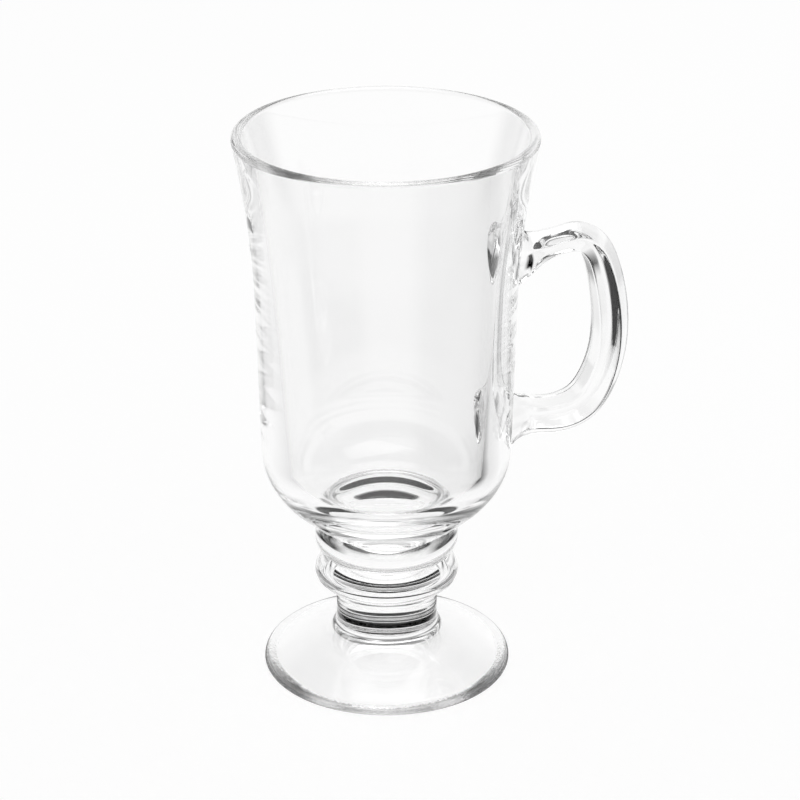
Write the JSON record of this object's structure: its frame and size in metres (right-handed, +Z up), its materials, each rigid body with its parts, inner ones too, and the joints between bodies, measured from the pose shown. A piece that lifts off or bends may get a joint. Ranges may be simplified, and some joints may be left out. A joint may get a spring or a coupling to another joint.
{
  "type": "footed glass mug",
  "caption": "Clear glass mug for hot coffee: a flared bowl with a thick floor and a looped side handle, on a beaded stem and a sloping round foot.",
  "frame": {"origin": "centre of the foot's resting ring, on the mug's axis, at the level of the table", "axes": "+Z up the mug's axis, +X out along the handle, +Y across the handle"},
  "size_m": [0.1048, 0.0782, 0.15],
  "materials": {
    "clear_glass": "polished"
  },
  "bodies": {
    "root": {"foot": "clear_glass", "neck": "clear_glass", "lower_knop": "clear_glass", "upper_knop": "clear_glass", "bowl": "clear_glass", "handle": "clear_glass"}
  },
  "joints": []
}
